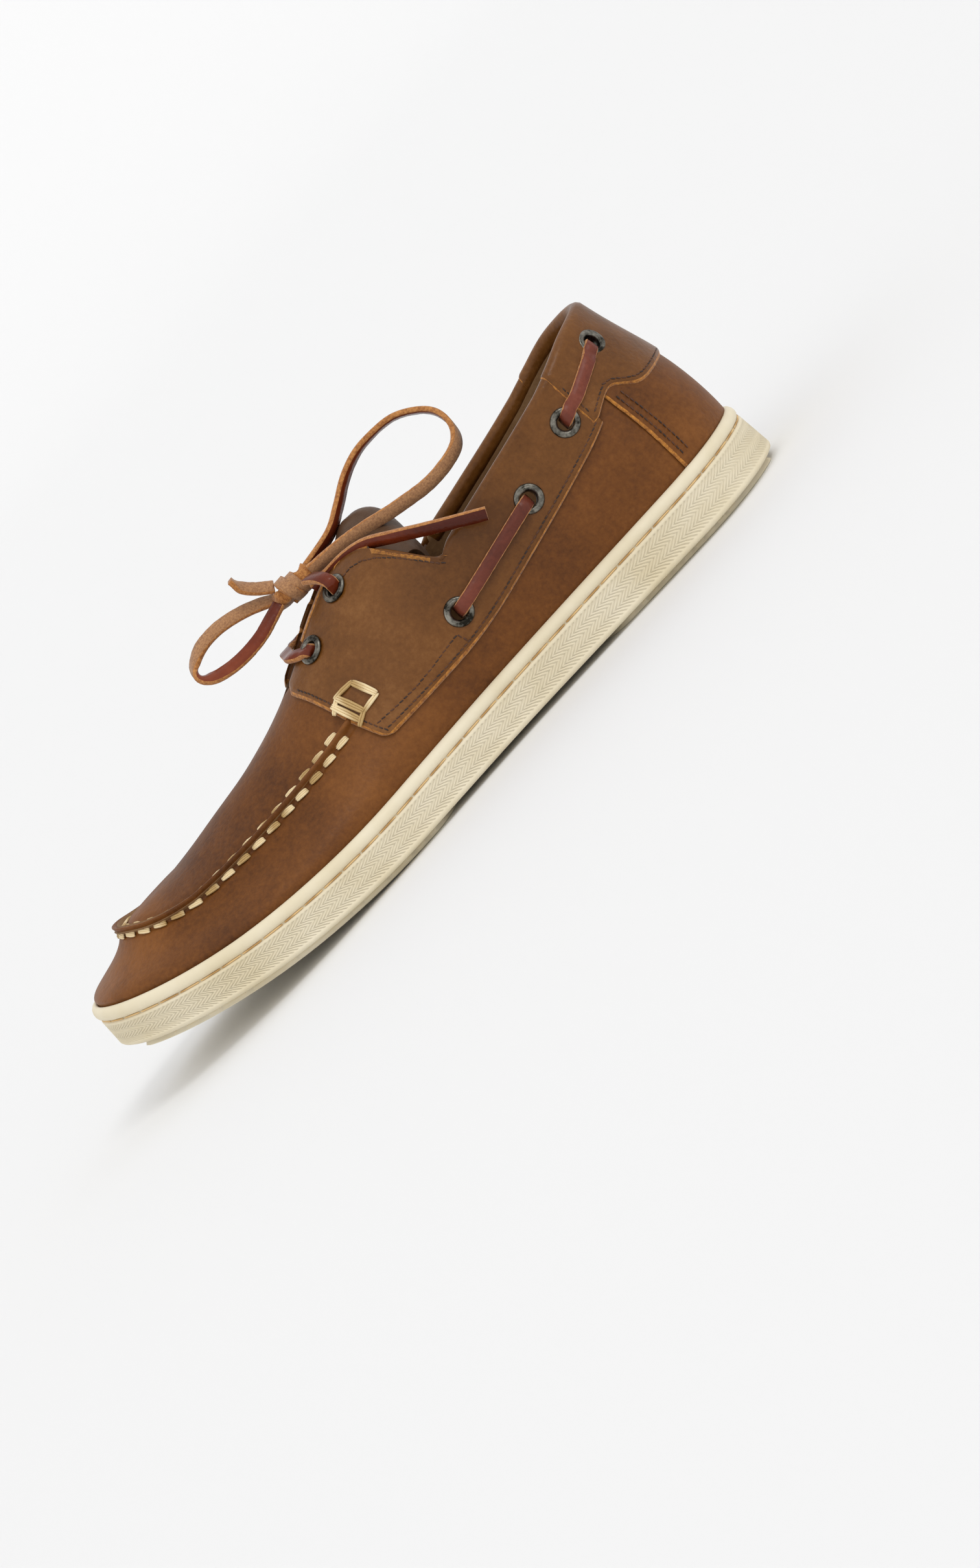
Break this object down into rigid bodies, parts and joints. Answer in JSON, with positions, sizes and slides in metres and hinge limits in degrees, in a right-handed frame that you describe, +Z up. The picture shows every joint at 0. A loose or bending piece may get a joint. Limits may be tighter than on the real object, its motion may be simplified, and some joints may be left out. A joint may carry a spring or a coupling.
{
  "type": "boat shoe",
  "caption": "Right-foot boat shoe: leather moccasin-toe upper with a laced saddle, side lace and bow, on a cream rubber cup sole.",
  "frame": {"origin": "on the floor under the middle of the sole", "axes": "+X to the toe, +Y to the inner (medial) side, +Z up"},
  "size_m": [0.3, 0.1101, 0.1043],
  "materials": {
    "rubber": "matt moulded cream rubber",
    "eyelet_metal": "aged metal",
    "saddle_leather": "waxed brown leather",
    "lining": "tan lining leather",
    "lace_leather": "dark red-brown leather lace",
    "leather": "oiled brown leather"
  },
  "bodies": {
    "root": {"cup_sole": "rubber", "eyelet_inner_heel": "eyelet_metal", "eyelet_inner_quarter_front": "eyelet_metal", "eyelet_inner_quarter_rear": "eyelet_metal", "eyelet_inner_saddle": "eyelet_metal", "eyelet_inner_throat_front": "eyelet_metal", "eyelet_inner_throat_rear": "eyelet_metal", "eyelet_outer_heel": "eyelet_metal", "eyelet_outer_quarter_front": "eyelet_metal", "eyelet_outer_quarter_rear": "eyelet_metal", "eyelet_outer_saddle": "eyelet_metal", "eyelet_outer_throat_front": "eyelet_metal", "eyelet_outer_throat_rear": "eyelet_metal", "heel_counter": "saddle_leather", "heel_tab": "saddle_leather", "insole": "lining", "lace_bar": "lace_leather", "lace_end_long": "lace_leather", "lace_end_short": "lace_leather", "lace_knot": "lace_leather", "lace_loop_front": "lace_leather", "lace_loop_rear": "lace_leather", "lace_run_inner_front": "lace_leather", "lace_run_inner_rear": "lace_leather", "lace_run_outer_front": "lace_leather", "lace_run_outer_rear": "lace_leather", "lace_strand_inner": "lace_leather", "lace_strand_outer": "lace_leather", "saddle_inner": "saddle_leather", "saddle_outer": "saddle_leather", "tongue": "lining", "upper": "leather"}
  },
  "joints": []
}
